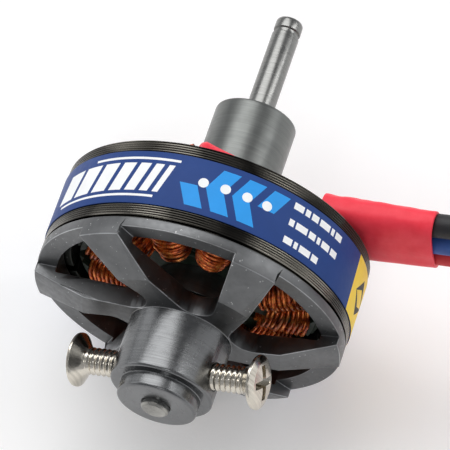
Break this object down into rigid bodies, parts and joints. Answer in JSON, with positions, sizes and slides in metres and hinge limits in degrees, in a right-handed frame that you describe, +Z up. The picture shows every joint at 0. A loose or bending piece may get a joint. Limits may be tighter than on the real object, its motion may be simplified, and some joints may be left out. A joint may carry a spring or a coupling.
{
  "type": "brushless outrunner motor",
  "caption": "Small brushless outrunner motor: spoked bell with hub and two propeller screws, steel flux ring, wound stator, bearing tube, shaft and sleeved leads with bullet plugs.",
  "frame": {"origin": "on the motor's axis, in the plane of the mounting tube's rear face", "axes": "+Y along the axis from the propeller hub to the mounting tube; +Z up with the motor lying on its side; the leads leave towards +X"},
  "size_m": [0.0758, 0.0324, 0.0224],
  "materials": {
    "cap_aluminium": "satin dark anodised, worn bright at the edges",
    "ring_steel": "fine turning grooves",
    "label_print": null,
    "magnet_nickel": "nickel plated, dull",
    "shaft_steel": "ground",
    "screw_nickel": "bright nickel plate",
    "bearing_steel": "polished",
    "bearing_shield": "pressed shield",
    "tube_aluminium": "satin, turned",
    "core_epoxy": "dark green-black epoxy coat",
    "insulator_epoxy": "dark epoxy",
    "winding_copper": "copper under orange enamel",
    "red_heat_shrink": "soft satin",
    "silicone_black": "satin silicone",
    "silicone_blue": "satin silicone",
    "silicone_red": "satin silicone",
    "plug_gold": "gold plated"
  },
  "bodies": {
    "stator": {"mounting_tube": "tube_aluminium", "bearing_front_outer": "bearing_steel", "bearing_rear_outer": "bearing_steel", "bearing_front_shield": "bearing_shield", "bearing_rear_shield": "bearing_shield", "stator_core": "core_epoxy", "insulator_front": "insulator_epoxy", "insulator_rear": "insulator_epoxy", "coil_01": "winding_copper", "coil_02": "winding_copper", "coil_03": "winding_copper", "coil_04": "winding_copper", "coil_05": "winding_copper", "coil_06": "winding_copper", "coil_07": "winding_copper", "coil_08": "winding_copper", "coil_09": "winding_copper", "coil_10": "winding_copper", "coil_11": "winding_copper", "coil_12": "winding_copper", "phase_tube": "red_heat_shrink", "phase_wire_a": "winding_copper", "phase_wire_b": "winding_copper", "phase_wire_c": "winding_copper", "phase_wire_d": "winding_copper", "lead_sleeve": "red_heat_shrink", "lead_black": "silicone_black", "lead_blue": "silicone_blue", "lead_red": "silicone_red", "bullet_cover_black": "silicone_black", "bullet_pin_black": "plug_gold", "bullet_cover_blue": "silicone_blue", "bullet_pin_blue": "plug_gold", "bullet_cover_red": "silicone_red", "bullet_pin_red": "plug_gold"},
    "rotor": {"bell_cap": "cap_aluminium", "flux_ring": "ring_steel", "label_band": "label_print", "magnet_01": "magnet_nickel", "magnet_02": "magnet_nickel", "magnet_03": "magnet_nickel", "magnet_04": "magnet_nickel", "magnet_05": "magnet_nickel", "magnet_06": "magnet_nickel", "magnet_07": "magnet_nickel", "magnet_08": "magnet_nickel", "magnet_09": "magnet_nickel", "magnet_10": "magnet_nickel", "magnet_11": "magnet_nickel", "magnet_12": "magnet_nickel", "magnet_13": "magnet_nickel", "magnet_14": "magnet_nickel", "shaft": "shaft_steel", "prop_screw_right": "screw_nickel", "prop_screw_left": "screw_nickel", "retaining_clip": "bearing_steel", "spacer_washer": "bearing_steel", "bearing_front_inner": "bearing_steel", "bearing_rear_inner": "bearing_steel"}
  },
  "joints": [
    {"name": "rotor_spin", "type": "hinge", "parent": "stator", "child": "rotor", "pos_m": [0, -0.01, 0], "axis": [0, -1, 0], "continuous": true}
  ]
}
